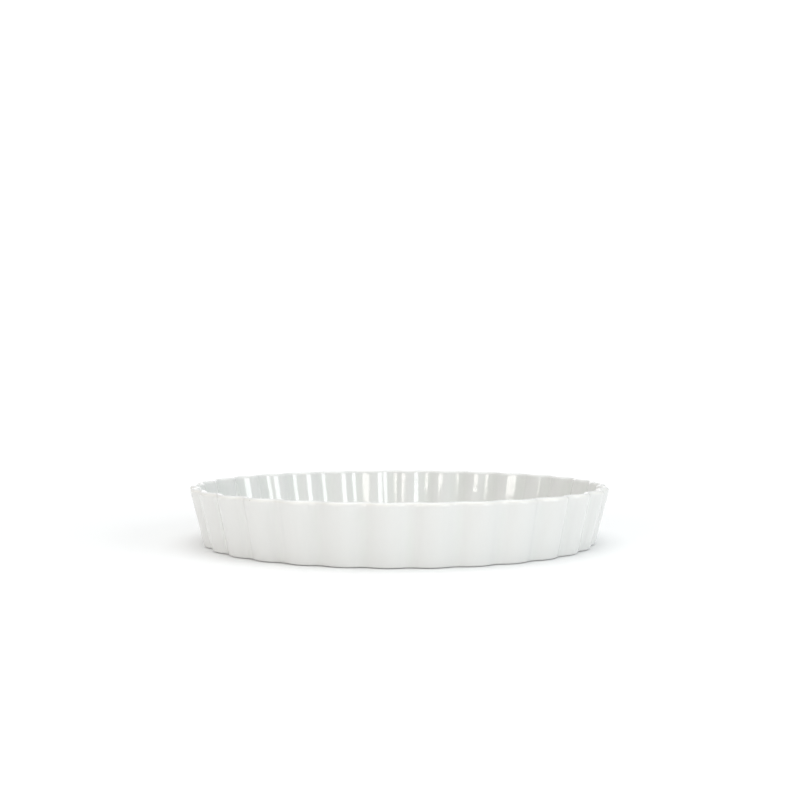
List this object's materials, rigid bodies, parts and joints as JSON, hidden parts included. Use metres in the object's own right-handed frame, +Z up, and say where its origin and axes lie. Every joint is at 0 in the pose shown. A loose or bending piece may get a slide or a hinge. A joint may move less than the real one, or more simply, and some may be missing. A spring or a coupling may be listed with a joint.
{
  "type": "tart pan",
  "caption": "Round white glazed porcelain tart dish with a leaning scalloped wall, a rounded wavy lip, a flat floor and a low foot ring.",
  "frame": {"origin": "on the table, at the centre of the foot ring", "axes": "+Z up along the dish's axis, +X to the right and +Y away from the viewer, with a crease between two flutes facing -Y"},
  "size_m": [0.2796, 0.2793, 0.038],
  "materials": {
    "porcelain_glaze": "gloss",
    "lip_glaze": "gloss",
    "bare_porcelain": "matte"
  },
  "bodies": {
    "root": {"floor_plate": "porcelain_glaze", "fluted_wall": "porcelain_glaze", "rim": "lip_glaze", "foot_ring": "bare_porcelain"}
  },
  "joints": []
}
